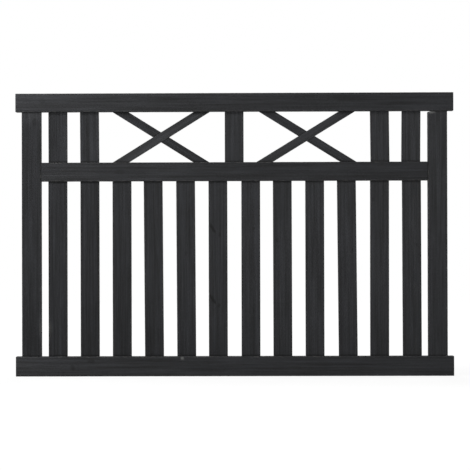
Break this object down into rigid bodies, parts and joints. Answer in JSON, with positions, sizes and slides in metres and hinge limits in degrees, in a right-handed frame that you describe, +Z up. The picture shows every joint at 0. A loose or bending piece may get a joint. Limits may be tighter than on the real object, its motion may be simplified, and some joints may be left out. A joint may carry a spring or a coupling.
{
  "type": "wooden fence panel",
  "caption": "Black-painted timber fence panel: upright slats housed between rails and stiles, with half-lapped diagonal crosses under the top rail, for fixing between posts.",
  "frame": {"origin": "centre of the bottom rail's left end face", "axes": "+X along the panel from its left end to its right end, +Y from the front face to the back, +Z up"},
  "size_m": [1.856, 0.045, 1.2],
  "materials": {
    "painted_timber": "matt black paint with the grain showing through"
  },
  "bodies": {
    "root": {"top_rail": "painted_timber", "middle_rail": "painted_timber", "bottom_rail": "painted_timber", "left_stile": "painted_timber", "right_stile": "painted_timber", "lower_slat_01": "painted_timber", "lower_slat_02": "painted_timber", "lower_slat_03": "painted_timber", "lower_slat_04": "painted_timber", "lower_slat_05": "painted_timber", "lower_slat_06": "painted_timber", "lower_slat_07": "painted_timber", "lower_slat_08": "painted_timber", "lower_slat_09": "painted_timber", "lower_slat_10": "painted_timber", "lower_slat_11": "painted_timber", "lower_slat_12": "painted_timber", "upper_slat_left_1": "painted_timber", "upper_slat_left_2": "painted_timber", "upper_slat_centre": "painted_timber", "upper_slat_right_2": "painted_timber", "upper_slat_right_1": "painted_timber", "left_brace_rising": "painted_timber", "left_brace_falling": "painted_timber", "right_brace_rising": "painted_timber", "right_brace_falling": "painted_timber"}
  },
  "joints": []
}
